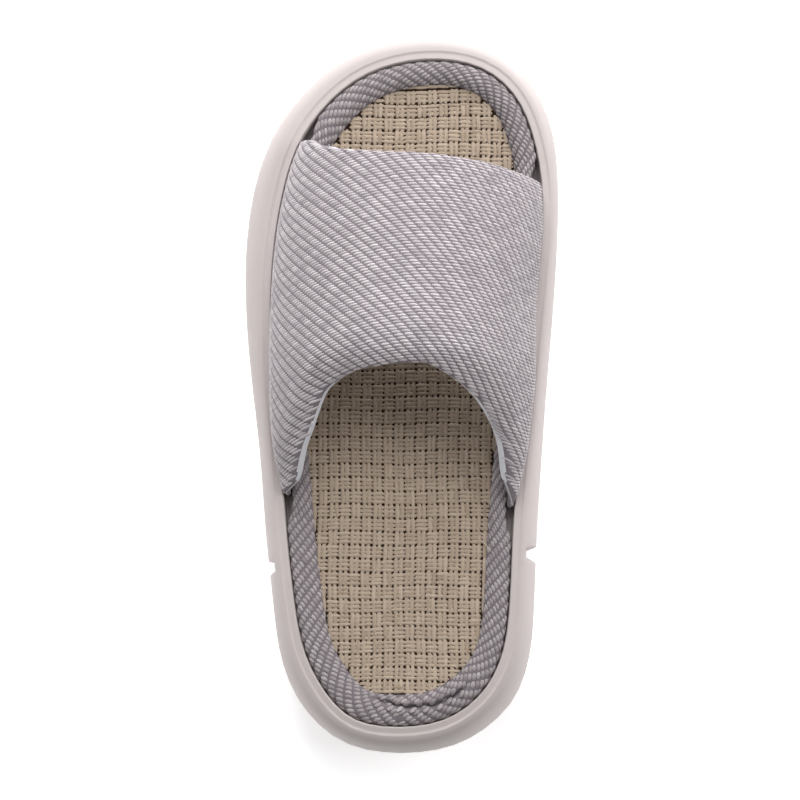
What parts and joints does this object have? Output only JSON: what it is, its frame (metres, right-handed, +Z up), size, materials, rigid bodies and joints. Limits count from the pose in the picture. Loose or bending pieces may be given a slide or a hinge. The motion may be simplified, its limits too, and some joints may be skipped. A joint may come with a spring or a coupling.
{
  "type": "house slipper",
  "caption": "Open-toe house slipper for the left foot: padded twill band over a bound linen footbed in a thick flared foam cup sole.",
  "frame": {"origin": "on the ground, under the middle of the sole's length and width", "axes": "+Y points to the toe, +X to the inner side of the left foot, +Z up"},
  "size_m": [0.1218, 0.276, 0.079],
  "materials": {
    "sole_foam": "matte moulded foam, warm off-white",
    "linen": "coarse natural linen in a basket weave",
    "binding_twill": "grey-violet ribbed twill, padded",
    "upper_twill": "pale grey-violet ribbed twill, padded and lined"
  },
  "bodies": {
    "root": {"outsole": "sole_foam", "insole": "linen", "insole_binding": "binding_twill", "upper": "upper_twill"}
  },
  "joints": []
}
